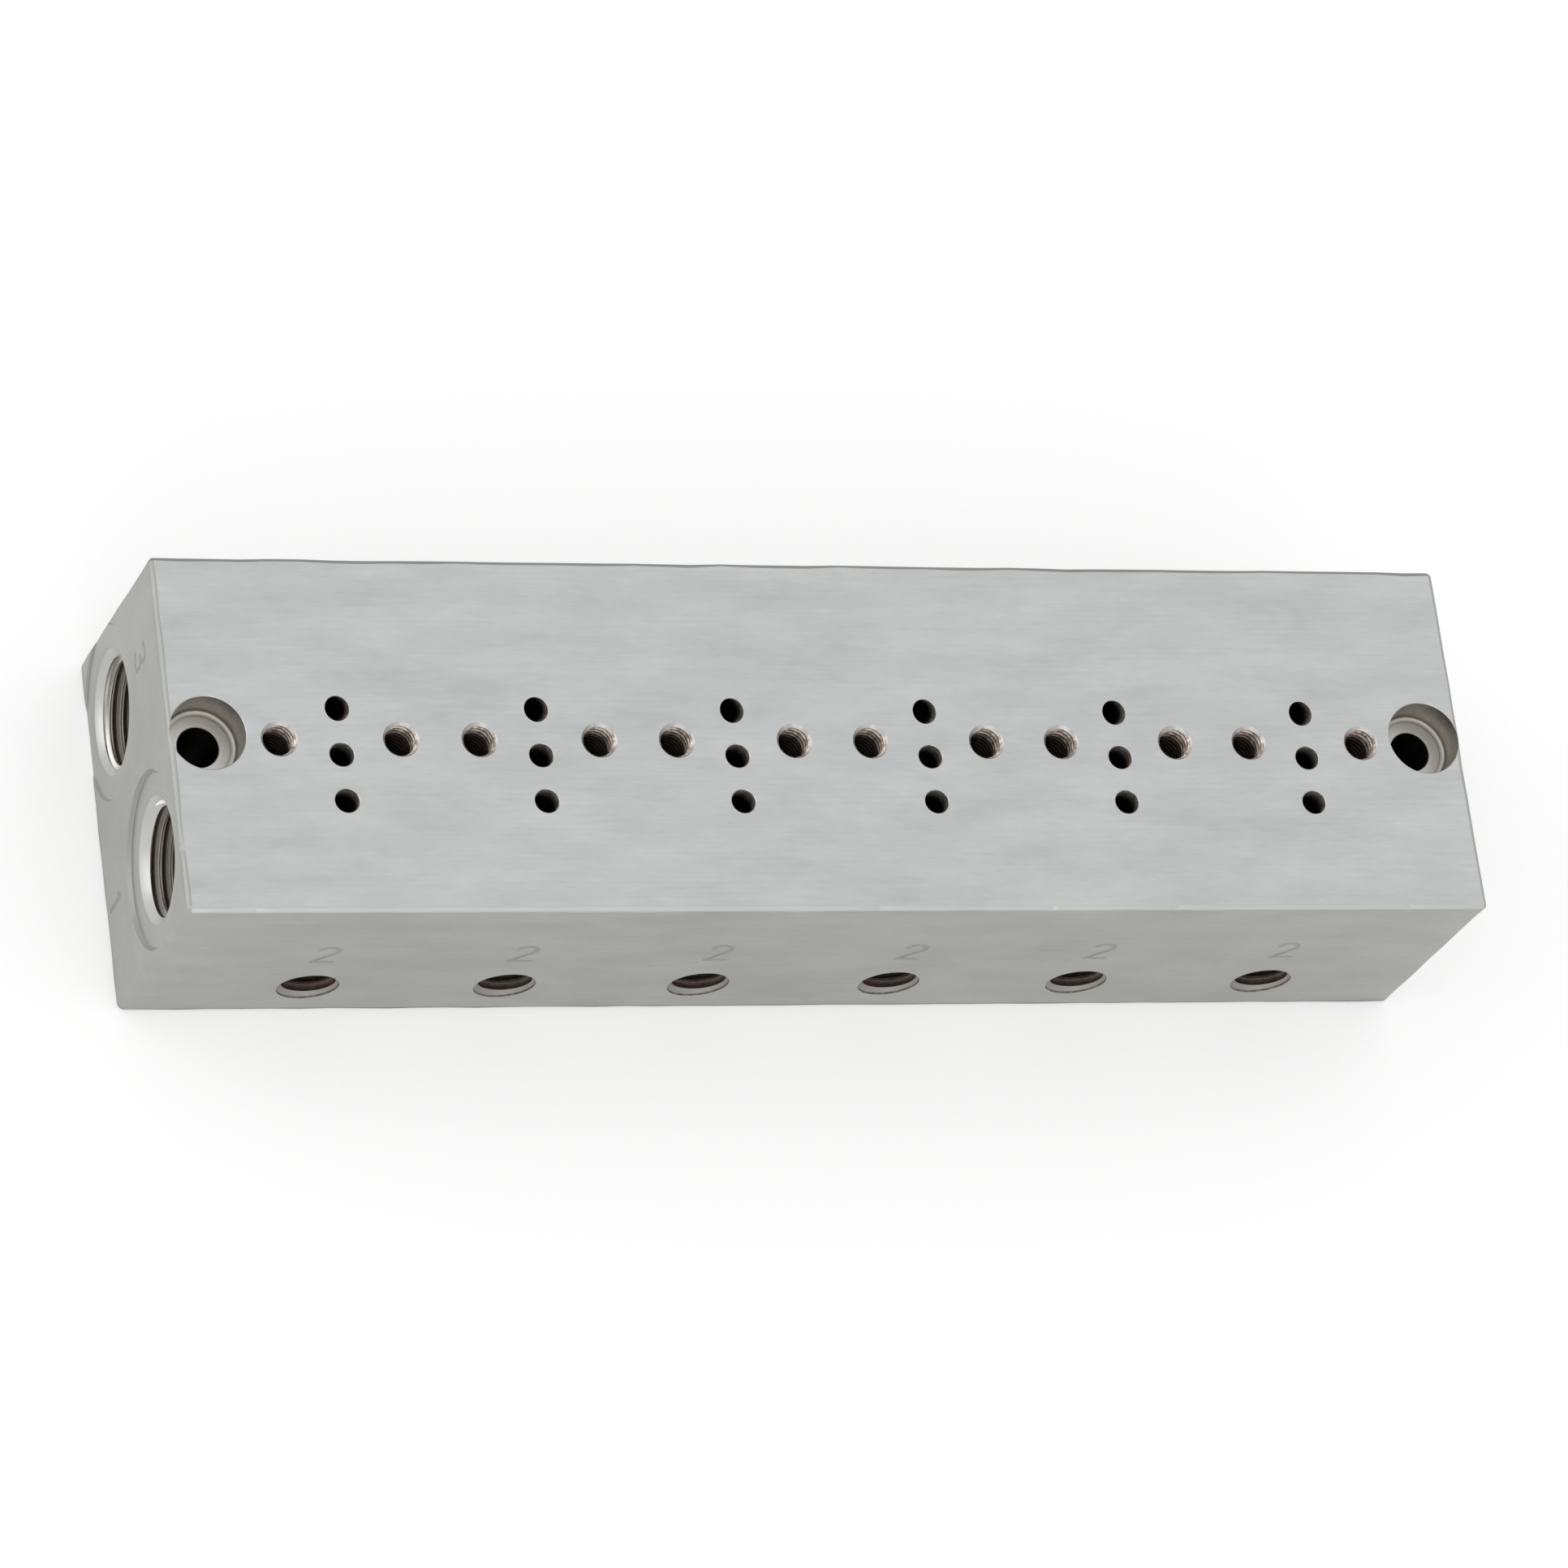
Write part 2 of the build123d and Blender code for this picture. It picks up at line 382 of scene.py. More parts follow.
def threaded_metal(name, core_radius, axis_point, along):
    """Thread flanks with a painted highlight where they face the mouth, over grooves in painted
    shade.
    """
    finish, tree, shader = metal_material(name)
    place = place_in_mm(tree)
    deep = fade_in(tree, depth_in_block(tree, place), *FLANK_DEPTHS)
    flank = between(tree, deep, *FLANK_LIGHT_AND_SHADE)
    radius = distance_from_axis(tree, place, axis_point, along)
    groove_depth = reckon(tree, "SUBTRACT", radius, core_radius)
    surface_normal = tree.nodes.new("ShaderNodeTexCoord").outputs["Normal"]
    normal_x = node(tree, "ShaderNodeSeparateXYZ", Vector=surface_normal).outputs["X"]
    place_x = node(tree, "ShaderNodeSeparateXYZ", Vector=place).outputs["X"]
    mouthward = reckon(tree, "MULTIPLY", normal_x, reckon(tree, "SIGN", place_x))
    # Painted highlight where a flank faces the mouth, and painted shade in the grooves.
    lit_flank = spread(tree, fade_in(tree, mouthward, *LIT_FLANK_LEANS), UNLIT_FLANK_SHARE, 1.0)
    above_groove_shade = spread(tree, fade_in(tree, groove_depth, *GROOVE_SHADE_LEVELS), 1.0, 0.0)
    lit_share = reckon(tree, "MULTIPLY", lit_flank, above_groove_shade)
    oil = reckon_vector(tree, "MULTIPLY", reckon(tree, "SUBTRACT", 1.0, lit_share), GROOVE_SHADE_COLOUR)
    metal = reckon_vector(tree, "MULTIPLY", lit_share, flank)
    plug(tree, shader.inputs["Base Color"], reckon_vector(tree, "ADD", metal, oil))
    scrape = streaks(tree, place, THREAD_SCRAPES_PER_MM, 3.0)
    plug(tree, shader.inputs["Roughness"], spread(tree, scrape, *THREAD_ROUGHNESS))
    shader.inputs["Metallic"].default_value = THREAD_METAL
    return finish


# %% [markdown]
# ## The bar
#
# The block starts as a sawn length of flat bar whose edges a file has broken, 0.4 mm back from
# the corner. A box with a Bevel modifier would give that edge, but every bevel would be as even
# as a machine's. Here the bevel is cut in the mesh and its width is then made to wander a little
# along each edge. All the shaping is done in millimetres, and the finished mesh is scaled to
# metres once, at the end.

# %% Make a bar with hand-broken edges
EDGE_BREAK = 0.4
EDGE_REACH = 1.05 * EDGE_BREAK  # points nearer to a side than this belong to its broken edge
EDGE_WANDER = 0.44  # share of the broken edge's width that a file leaves uneven
SHARP_TURN = 45  # degrees; the corners of the bar turn more than this, and its loops don't
WANDER_PER_MM = 0.35  # how quickly that width changes along the edge
GRID_STEP = 2.5  # spacing of the loops that let an edge wander


def keep_mesh(name, shape, finishes):
    """Turn a bmesh into an object that wears these finishes."""
    bmesh.ops.recalc_face_normals(shape, faces=shape.faces)
    mesh = bpy.data.meshes.new(name)
    shape.to_mesh(mesh)
    shape.free()
    for finish in finishes:
        mesh.materials.append(finish)
    made = bpy.data.objects.new(name, mesh)
    bpy.context.scene.collection.objects.link(made)
    return made


def cut_loops(shape, axis):
    """Split the box with evenly spaced planes across one axis."""
    across = Vector((0, 0, 0))
    across[axis] = 1
    count = max(2, round(block_size[axis] / GRID_STEP))
    for index in range(1, count):
        point = block_middle.copy()
        point[axis] += half_size[axis] * (2 * index / count - 1)
        bmesh.ops.bisect_plane(
            shape, geom=shape.verts[:] + shape.edges[:] + shape.faces[:],
            plane_co=point, plane_no=across,
        )


def wander_edges(shape):
    """Scale each broken edge about its sharp corner line, by a noise along the edge."""
    for vertex in shape.verts:
        offset = vertex.co - block_middle
        change = 1 + EDGE_WANDER * noise.noise(vertex.co * WANDER_PER_MM)
        for axis in range(3):
            inset = half_size[axis] - abs(offset[axis])
            if 0 < inset < EDGE_REACH:
                side = 1 if offset[axis] > 0 else -1
                vertex.co[axis] = block_middle[axis] + side * (half_size[axis] - inset * change)


FINISH_BY_AXIS = (END_FACE, LONG_SIDE, VALVE_FACE)
SQUARE_ON = 0.999  # a face whose normal lies this closely along an axis is not an edge
LEANING = 0.1  # a normal with more than this along an axis leans that way


def edge_finish(normal):
    """Edges under and behind are darkened as painted shade, and upright corners have the tone of
    the sides.

    Around the valve face the edges are darker at the ends than along the front.
    """
    if normal.z < -LEANING or normal.y > LEANING:
        return SHADED_EDGE
    if normal.z < LEANING:
        return LONG_SIDE
    return END_TOP_EDGE if abs(normal.x) > LEANING else FILED_EDGE


bar_shape = bmesh.new()
bmesh.ops.create_cube(bar_shape, size=1.0)
for vertex in bar_shape.verts:
    vertex.co = block_middle + Vector(vertex.co[axis] * block_size[axis] for axis in range(3))
for axis in range(3):
    cut_loops(bar_shape, axis)
sharp_edges = [edge for edge in bar_shape.edges if edge.calc_face_angle(0) > radians(SHARP_TURN)]
bmesh.ops.bevel(
    bar_shape, geom=sharp_edges, offset=EDGE_BREAK, segments=3, profile=0.4, affect="EDGES"
)
wander_edges(bar_shape)
bar_shape.normal_update()
for face in bar_shape.faces:
    steepness = [abs(value) for value in face.normal]
    steepest = max(steepness)
    if steepest < SQUARE_ON:
        face.material_index = edge_finish(face.normal)
    else:
        face.material_index = FINISH_BY_AXIS[steepness.index(steepest)]
block = keep_mesh("manifold_body", bar_shape, OUTSIDE_FINISHES)
print("bar faces:", len(block.data.polygons))

# %% [markdown]
# ## Round tools
#
# A drill, a countersink and a spot-facing cutter all leave a shape turned about one axis, so one
# helper serves them all. It takes the outline of the hole as steps of depth and radius, each with
# the finish of the wall that leads to it, and spins it into a closed solid. The Screw modifier
# could spin it too, but rings placed in code can carry a finish each, which the cut then leaves
# on the wall of the hole.

# %% Read the places of the ports and screws
mounts = {mount["name"]: mount for mount in frame["record"]["mounts"]}
print("mounts in the record:", len(mounts))


def mount_place(name):
    """A mount's point in millimetres."""
    return Vector(mounts[name]["pos_m"]) / MM


# %% Name the finishes of the walls that tools leave
PORT_TAP_RADIUS = mounts["supply_port_left"]["dims"]["r_mm"]


def port_finishes(name):
    """The spot face of a gallery's ports, and their threads."""
    axis = mount_place(f"{name}_port_left")
    # The seat takes the end face's colour, with its painted shade.
    seat = turned_aluminium(f"{name}_port_seat", (0.39, 0.392, 0.368), axis, "X", 4.0, (0.34, 0.46))
    return [seat, threaded_metal(f"{name}_port_thread", PORT_TAP_RADIUS, axis, "X")]


def pocket_floor_finish(side):
    """The floor of a mounting pocket on one side of the block."""
    axis = mount_place("mounting_holes")
    axis.x += side * mounts["mounting_holes"]["dims"]["spacing_x_mm"] / 2
    end = "left" if side < 0 else "right"
    return turned_aluminium(f"pocket_floor_{end}", (0.55, 0.548, 0.512), axis, "Z", 3.0, (0.34, 0.44))


WALL_FINISHES = [
    *bored_walls, *plain_cuts, *port_finishes("supply"), *port_finishes("exhaust"),
    pocket_floor_finish(-1), pocket_floor_finish(1),
]
(
    DRILLED, RIM, POCKET, FINE_THREAD, OUTLET_THREAD, BURNISHED, DULL, RECESS_SHADE, CUT_RING,
    SUPPLY_SEAT, SUPPLY_THREAD, EXHAUST_SEAT, EXHAUST_THREAD, LEFT_FLOOR, RIGHT_FLOOR,
) = range(len(OUTSIDE_FINISHES), len(OUTSIDE_FINISHES) + len(WALL_FINISHES))
for finish in WALL_FINISHES:
    block.data.materials.append(finish)
print("finishes in all:", len(bpy.data.materials))

# %% Spin an outline into a cutting tool
CLEARANCE = 1.0  # how far a tool stands out of the face that it enters
WIDE_STEPS, MIDDLE_STEPS, SLIM_STEPS = 96, 64, 48  # points in a ring, for wide to slim holes
DRILL_POINT = 118.0  # included angle of a drill's point


def ring_points(radius, depth, steps):
    """A ring around the tool's axis. Z points out of the mouth."""
    return [
        Vector((radius * cos(2 * pi * step / steps), radius * sin(2 * pi * step / steps), -depth))
        for step in range(steps)
    ]


def set_at(mouth, facing):
    """The place of a tool that works at a mouth, with its Z out of the block."""
    return Matrix.Translation(mouth) @ facing.to_track_quat("Z", "Y").to_matrix().to_4x4()


def turned_tool(shape, outline, mouth, facing, steps):
    """Add a spun tool to a bmesh. The outline lists (depth, radius, finish of the wall)."""
    setting = set_at(mouth, facing)
    rings = [
        [shape.verts.new(setting @ point) for point in ring_points(radius, depth, steps)]
        for depth, radius, _ in outline
        if radius > 0
    ]
    for row, (above, below) in enumerate(zip(rings, rings[1:])):
        for step in range(steps):
            after = (step + 1) % steps
            face = shape.faces.new((above[step], above[after], below[after], below[step]))
            face.material_index = outline[row + 1][2]
    shape.faces.new(rings[0])
    last_depth, last_radius, last_finish = outline[-1]
    if last_radius > 0:
        shape.faces.new(rings[-1]).material_index = last_finish
        return
    tip = shape.verts.new(setting @ Vector((0, 0, -last_depth)))
    for step in range(steps):
        face = shape.faces.new((rings[-1][step], rings[-1][(step + 1) % steps], tip))
        face.material_index = last_finish


def cone_height(wide, narrow, angle):
    """Axial length of a cone between two radii, for its included angle in degrees."""
    return (wide - narrow) / tan(radians(angle / 2))


def drill_tip(depth, radius):
    """The last two steps of a drilled hole: its shoulder and the point of the drill."""
    return [(depth, radius, DRILLED), (depth + cone_height(radius, 0, DRILL_POINT), 0.0, DRILLED)]


# %% Cut the block with a tool
def cut_away(name, shape):
    """Subtract the tool solids in a bmesh from the block and report what is left.

    The tool carries the block's whole list of finishes, so every wall keeps its own.
    """
    tool = keep_mesh(name, shape, OUTSIDE_FINISHES + WALL_FINISHES)
    cut = block.modifiers.new(name, "BOOLEAN")
    cut.operation = "DIFFERENCE"
    cut.solver = "MANIFOLD"
    cut.object = tool
    depsgraph = bpy.context.evaluated_depsgraph_get()
    before = block.data
    block.data = bpy.data.meshes.new_from_object(block.evaluated_get(depsgraph))
    block.modifiers.clear()
    bpy.data.meshes.remove(before)
    bpy.data.meshes.remove(tool.data)
    print(f"{name}: block now has {len(block.data.polygons)} faces")


# %% [markdown]
# ## Galleries and their end ports
#
# Two long galleries feed all six valves. Each is drilled from end to end and tapped G1/8 at both
# ends for a fitting, with a countersink that lets the thread start and a shallow spot face that
# its sealing washer sits on. The record's mounts say where the four threads are, so the ports are
# placed from them. A gallery with its two ports is one long outline, from one spot face to the
# other, so nothing has to be joined inside the block.

# %% Draw a gallery with its two ports
SEAT_RADIUS = 7.15
SEAT_SLOPE = 0.8  # how far the seat's wall leans in for its depth, from a blunt cutter
SEAT_DEPTHS = {"supply": 0.33, "exhaust": 0.18}
SEAT_FINISHES = {"supply": SUPPLY_SEAT, "exhaust": EXHAUST_SEAT}
DISH = ((0.0, 5.9), (0.04, 5.5), (0.1, 5.2), (0.14, 5.1))  # the seat sinks into the mouth
MOUTH_ANGLE = 90.0
GALLERY_RADIUS = 3.75
PORT_TAP_DEPTH = 10.0
TOOL_GAP = 0.03  # a drill is this much slimmer than the thread that follows it
block_length = block_size.x


def gallery_outline(name):
    """Depths, radii and walls from one spot face through the block to the other."""
    seat_depth, seat = SEAT_DEPTHS[name], SEAT_FINISHES[name]
    drill_radius = PORT_TAP_RADIUS - TOOL_GAP
    sink, mouth_radius = DISH[-1]
    mouth_end = seat_depth + sink + cone_height(mouth_radius, drill_radius, MOUTH_ANGLE)
    shoulder_end = PORT_TAP_DEPTH + cone_height(drill_radius, GALLERY_RADIUS, DRILL_POINT)
    near_port = [
        (-CLEARANCE, SEAT_RADIUS, seat),
        (0.0, SEAT_RADIUS, seat),
        # The step down to the seat is darkened as painted shade along its corner.
        (seat_depth, SEAT_RADIUS - SEAT_SLOPE * seat_depth, RECESS_SHADE),
        *((seat_depth + sunk, radius, seat) for sunk, radius in DISH),
        (mouth_end, drill_radius, BURNISHED),
        (PORT_TAP_DEPTH, drill_radius, DRILLED),
        (shoulder_end, GALLERY_RADIUS, DRILLED),
    ]
    far_walls = [DRILLED] + [wall for _, _, wall in reversed(near_port[1:])]
    far_port = [
        (block_length - depth, radius, wall)
        for (depth, radius, _), wall in zip(reversed(near_port), far_walls)
    ]
    return near_port + far_port


# %% Drill both galleries
gallery_shape = bmesh.new()
for gallery in SEAT_DEPTHS:
    mouth = mount_place(f"{gallery}_port_left")
    mouth.x = -block_length / 2
    turned_tool(gallery_shape, gallery_outline(gallery), mouth, Vector((-1, 0, 0)), WIDE_STEPS)
cut_away("galleries", gallery_shape)

# %% [markdown]
# ## Threads
#
# A thread is a groove that climbs one pitch in each turn. Blender's Screw modifier makes such a
# surface, but it stays open at both ends and a boolean needs a closed solid. So the rows of this
# mesh climb with the helix: each row is one corner of the thread's profile, and after a full turn
# it meets the row of the next turn. Rows past the ends are pressed flat onto them, and doubled
# points are merged, which closes the solid.

# %% Build a tap
MERGE_DISTANCE = 0.0005  # points of a thread that are nearer than this are one


def thread_rows(thread, core, pitch, profile, length, leads, steps):
    """Rows of points that climb with the helix, one for each corner of the profile in each turn.

    The profile lists (share of the pitch, height over the core). The leads are the lengths over
    which the groove grows at its mouth and runs out at its end.
    """
    points = len(profile)
    turns = int(length / pitch) + 2
    rows = []
    for row in range(-points, turns * points + 1):
        turn, point = divmod(row, points)
        share, height = profile[point]
        row_verts = []
        for step in range(steps):
            depth = pitch * (turn + share + step / steps)
            depth = min(max(depth, 0.0), length)
            fade = min(1.0, depth / leads[0], (length - depth) / leads[1])
            radius = core + height * fade
            angle = 2 * pi * step / steps
            row_verts.append(thread.verts.new((radius * cos(angle), -radius * sin(angle), -depth)))
        rows.append(row_verts)
    return rows


def tap(shape, core, pitch, profile, length, leads, mouth, facing, steps, finish):
    """Add a right-hand thread tool to a bmesh: the hole's core with the groove around it."""
    thread = bmesh.new()
    rows = thread_rows(thread, core, pitch, profile, length, leads, steps)
    points = len(profile)
    wrapped = [row + [later[0]] for row, later in zip(rows, rows[points:])] + rows[-points:]
    for row, below in zip(wrapped, wrapped[1:]):
        for step in range(len(below) - 1):
            corners = (row[step], row[step + 1], below[step + 1], below[step])
            thread.faces.new(corners).material_index = finish
    bmesh.ops.remove_doubles(thread, verts=thread.verts, dist=MERGE_DISTANCE)
    loose = [vertex for vertex in thread.verts if not vertex.link_faces]
    bmesh.ops.delete(thread, geom=loose, context="VERTS")
    rims = [edge for edge in thread.edges if edge.is_boundary]
    bmesh.ops.holes_fill(thread, edges=rims, sides=0)
    open_edges = sum(1 for edge in thread.edges if not edge.is_manifold)
    bmesh.ops.transform(thread, matrix=set_at(mouth, facing), verts=thread.verts)
    part = bpy.data.meshes.new("tap")
    thread.to_mesh(part)
    thread.free()
    shape.from_mesh(part)
    bpy.data.meshes.remove(part)
    return open_edges


# %% Tap the four end ports
PIPE_PITCH = 25.4 / 28  # 28 turns to the inch
PIPE_HEIGHT = 0.56
PIPE_THREAD_LENGTH, PIPE_THREAD_STEPS = 9.2, 72
pipe_profile = [
    (0.00, 0.02),
    (0.08, 0.00),
    (0.16, 0.02),
    (0.26, 0.13),
    (0.50, 0.50),
    (0.58, PIPE_HEIGHT),
    (0.66, PIPE_HEIGHT),
    (0.74, 0.50),
    (0.98, 0.13),
]
THREAD_STARTS = {"supply": 0.65, "exhaust": 0.1}  # depth at which each tap's helix begins
THREAD_LEADS = {"supply": (0.25, 1.4), "exhaust": (1.2, 1.4)}
THREAD_FINISHES = {"supply": SUPPLY_THREAD, "exhaust": EXHAUST_THREAD}
pipe_taps = bmesh.new()
open_edges = 0
for side, sign in (("left", -1), ("right", 1)):
    for gallery in ("supply", "exhaust"):
        mouth = mount_place(f"{gallery}_port_{side}")
        mouth.x = sign * (block_length / 2 - THREAD_STARTS[gallery])
        open_edges += tap(
            pipe_taps, PORT_TAP_RADIUS, PIPE_PITCH, pipe_profile, PIPE_THREAD_LENGTH,
            THREAD_LEADS[gallery], mouth, Vector((sign, 0, 0)), PIPE_THREAD_STEPS,
            THREAD_FINISHES[gallery],
        )
print("open edges on the pipe taps:", open_edges)
cut_away("pipe_threads", pipe_taps)

# %% [markdown]
# ## Outlet ports
#
# Each valve's outlet leaves through an M5 port in the long side. It is drilled and countersunk
# from the side, with a slimmer bore behind that reaches the passage from the valve, and tapped
# almost to its shoulder. Drill and tap could be one tool, but a boolean wants solids that don't
# overlap, so one cuts after the other.

# %% Drill and tap the six outlets
DEBURR = 0.06  # the width that a rim loses with its burr
OUTLET_SEAT_RADIUS, OUTLET_SEAT_DEPTH = 2.55, 0.15
OUTLET_MOUTH_RADIUS, OUTLET_MOUTH_ANGLE = 2.5, 100.0
OUTLET_TAP_RADIUS = mounts["outlet_port_1"]["dims"]["r_mm"]
OUTLET_TAP_DEPTH = 7.5
OUTLET_BORE_RADIUS, OUTLET_BORE_DEPTH = 1.5, 14.7
OUTLET_PITCH, OUTLET_THREAD_LENGTH, OUTLET_LEADS = 0.8, 6.8, (0.2, 1.2)
OUTLET_THREAD_STEPS = 40
THREAD_INSET = 0.05  # a small thread starts this far below the face
outlet_drill_radius = OUTLET_TAP_RADIUS - TOOL_GAP
outlet_mouth_end = OUTLET_SEAT_DEPTH + cone_height(
    OUTLET_MOUTH_RADIUS, outlet_drill_radius, OUTLET_MOUTH_ANGLE
)
outlet_shoulder = OUTLET_TAP_DEPTH + cone_height(
    outlet_drill_radius, OUTLET_BORE_RADIUS, DRILL_POINT
)
outlet_outline = [
    (-CLEARANCE, OUTLET_SEAT_RADIUS, RIM),
    (0.0, OUTLET_SEAT_RADIUS, RIM),
    (OUTLET_SEAT_DEPTH, OUTLET_SEAT_RADIUS, DRILLED),
    (OUTLET_SEAT_DEPTH, OUTLET_MOUTH_RADIUS, DULL),
    (outlet_mouth_end, outlet_drill_radius, DULL),
    (OUTLET_TAP_DEPTH, outlet_drill_radius, DRILLED),
    (outlet_shoulder, OUTLET_BORE_RADIUS, DRILLED),
] + drill_tip(OUTLET_BORE_DEPTH, OUTLET_BORE_RADIUS)


def metric_profile(pitch):
    """Corners of an ISO nut thread: a wide crest, 60 degree flanks and a narrow groove."""
    height = (pitch - pitch / 4 - pitch / 8) / 2 / tan(radians(30))
    return [(0.0, 0.0), (0.25, 0.0), (0.5625, height), (0.6875, height)]


station_count = sum(1 for name in mounts if name.startswith("outlet_port_"))
outlet_shape = bmesh.new()
outlet_taps = bmesh.new()
for station in range(1, station_count + 1):
    mouth = mount_place(f"outlet_port_{station}")
    mouth.y = -half_size.y
    turned_tool(outlet_shape, outlet_outline, mouth, front, MIDDLE_STEPS)
    mouth.y += THREAD_INSET
    tap(
        outlet_taps, OUTLET_TAP_RADIUS, OUTLET_PITCH, metric_profile(OUTLET_PITCH),
        OUTLET_THREAD_LENGTH, OUTLET_LEADS, mouth, front, OUTLET_THREAD_STEPS, OUTLET_THREAD,
    )
cut_away("outlet_drilling", outlet_shape)
cut_away("outlet_threads", outlet_taps)

# %% [markdown]
# ## Passages and screw holes on the valve face
#
# Under each valve three small passages open in a row: supply, outlet and exhaust. The first two
# go straight down, and the third is drilled on a slant so that it reaches the exhaust gallery.
# Beside each row two M3 holes hold the valve down. A plain cylinder could cut a passage, but it
# would leave a knife-sharp rim, so the tool of the straight ones takes the burr off too.

# %% Drill the passages
PASSAGE_RADIUS = 1.0
SUPPLY_ROW_Y, OUTLET_ROW_Y, EXHAUST_ROW_Y = -5.7, -1.8, 2.1
valve_face_z = block_size.z
station_xs = [mount_place(f"valve_screws_{station + 1}").x for station in range(station_count)]


def passage_outline(length):
    """A plain drilled hole whose rim has lost its burr."""
    return [
        (-CLEARANCE, PASSAGE_RADIUS + DEBURR, RIM),
        (0.0, PASSAGE_RADIUS + DEBURR, RIM),
        (DEBURR, PASSAGE_RADIUS, RIM),
        (length, PASSAGE_RADIUS, DRILLED),
    ]


supply_z = mount_place("supply_port_left").z
outlet_z = mount_place("outlet_port_1").z
exhaust_axis = mount_place("exhaust_port_left")
straight = bmesh.new()
slanted = bmesh.new()
for x in station_xs:
    for row_y, end_z in ((SUPPLY_ROW_Y, supply_z), (OUTLET_ROW_Y, outlet_z)):
        mouth = Vector((x, row_y, valve_face_z))
        turned_tool(straight, passage_outline(valve_face_z - end_z), mouth, up, SLIM_STEPS)
    mouth = Vector((x, EXHAUST_ROW_Y, valve_face_z))
    slant = mouth - Vector((x, exhaust_axis.y, exhaust_axis.z))
    slanted_outline = [(-CLEARANCE, PASSAGE_RADIUS, DRILLED), (slant.length, PASSAGE_RADIUS, DRILLED)]
    turned_tool(slanted, slanted_outline, mouth, slant.normalized(), SLIM_STEPS)
cut_away("straight_passages", straight)
cut_away("slanted_passages", slanted)

# %% Drill and tap the valve screw holes
SCREW_MOUTH_RADIUS, SCREW_MOUTH_ANGLE = 1.5, 90.0
SCREW_DEPTH = 7.0
SCREW_PITCH, SCREW_THREAD_LENGTH, SCREW_LEADS = 0.5, 5.6, (0.12, 0.9)
SCREW_THREAD_STEPS = 32
screw_tap_radius = mounts["valve_screws_1"]["dims"]["hole_r_mm"]
screw_spacing = mounts["valve_screws_1"]["dims"]["spacing_x_mm"]
screw_drill_radius = screw_tap_radius - TOOL_GAP
screw_mouth_end = cone_height(SCREW_MOUTH_RADIUS, screw_drill_radius, SCREW_MOUTH_ANGLE)
screw_outline = [
    (-CLEARANCE, SCREW_MOUTH_RADIUS, RIM),
    (0.0, SCREW_MOUTH_RADIUS, RIM),
    (screw_mouth_end, screw_drill_radius, RIM),
] + drill_tip(SCREW_DEPTH, screw_drill_radius)
screw_shape = bmesh.new()
screw_taps = bmesh.new()
for station in range(1, station_count + 1):
    for side in (-1, 1):
        mouth = mount_place(f"valve_screws_{station}")
        mouth.x += side * screw_spacing / 2
        mouth.z = valve_face_z
        turned_tool(screw_shape, screw_outline, mouth, up, SLIM_STEPS)
        mouth.z -= THREAD_INSET
        tap(
            screw_taps, screw_tap_radius, SCREW_PITCH, metric_profile(SCREW_PITCH),
            SCREW_THREAD_LENGTH, SCREW_LEADS, mouth, up, SCREW_THREAD_STEPS, FINE_THREAD,
        )
cut_away("screw_drilling", screw_shape)
cut_away("screw_threads", screw_taps)

# %% [markdown]
# ## Mounting holes
#
# A cap screw at each end holds the block down. Its head sinks into a flat-bottomed pocket that a
# counterbore cuts, so near the end of the block that the pocket nicks the broken edge. Two
# cylinders could make the hole, but a real cutter has an eased corner that leaves a bright ring
# around the floor, so its outline has that too.

# %% Counterbore the two mounting holes
HEAD_RADIUS, HEAD_DEPTH = 3.1, 3.0
CORNER_EASE = 0.3  # the cutter's own rounded corner, left at the foot of the wall
RING_RADIUS = 2.66  # the inner edge of the ring that the cutter's corner leaves
BACK_CHAMFER = 0.3
mount_radius = mounts["mounting_holes"]["dims"]["hole_r_mm"]
mount_spacing = mounts["mounting_holes"]["dims"]["spacing_x_mm"]
pocket_corner = [
    (
        HEAD_DEPTH - CORNER_EASE * (1 - sin(radians(angle))),
        HEAD_RADIUS - CORNER_EASE * (1 - cos(radians(angle))),
        POCKET if angle < 45 else CUT_RING,
    )
    for angle in (0, 30, 60, 90)
]


def counterbore_outline(floor):
    """The pocket, with a brighter ring where the cutter's corner turned, and the bore."""
    return [
        (-CLEARANCE, HEAD_RADIUS + DEBURR, RIM),
        (0.0, HEAD_RADIUS + DEBURR, RIM),
        (DEBURR, HEAD_RADIUS, RIM),
    ] + pocket_corner + [
        (HEAD_DEPTH, RING_RADIUS, CUT_RING),
        (HEAD_DEPTH + DEBURR, RING_RADIUS - DEBURR / 2, POCKET),
        (HEAD_DEPTH + DEBURR, mount_radius + DEBURR, floor),
        (HEAD_DEPTH + 2 * DEBURR, mount_radius, CUT_RING),
        (valve_face_z - BACK_CHAMFER, mount_radius, DRILLED),
        (valve_face_z, mount_radius + BACK_CHAMFER, DRILLED),
        (valve_face_z + CLEARANCE, mount_radius + BACK_CHAMFER, DRILLED),
    ]


counterbores = bmesh.new()
for side, floor in ((-1, LEFT_FLOOR), (1, RIGHT_FLOOR)):
    mouth = Vector((side * mount_spacing / 2, mount_place("mounting_holes").y, valve_face_z))
    turned_tool(counterbores, counterbore_outline(floor), mouth, up, WIDE_STEPS)
cut_away("counterbores", counterbores)

# %% [markdown]
# ## Stamped numbers
#
# Each port's number is struck into the bar with a hand punch: 1 for supply, 3 for exhaust and 2
# for every outlet. A punch leaves a round-bottomed groove, and the hand that holds it is never
# quite square. A text object could cut such marks, but its strokes have flat floors and square
# ends. Here each digit is a few arcs and lines, and a round-ended bar bent along each of them is
# pressed shallowly into the face.

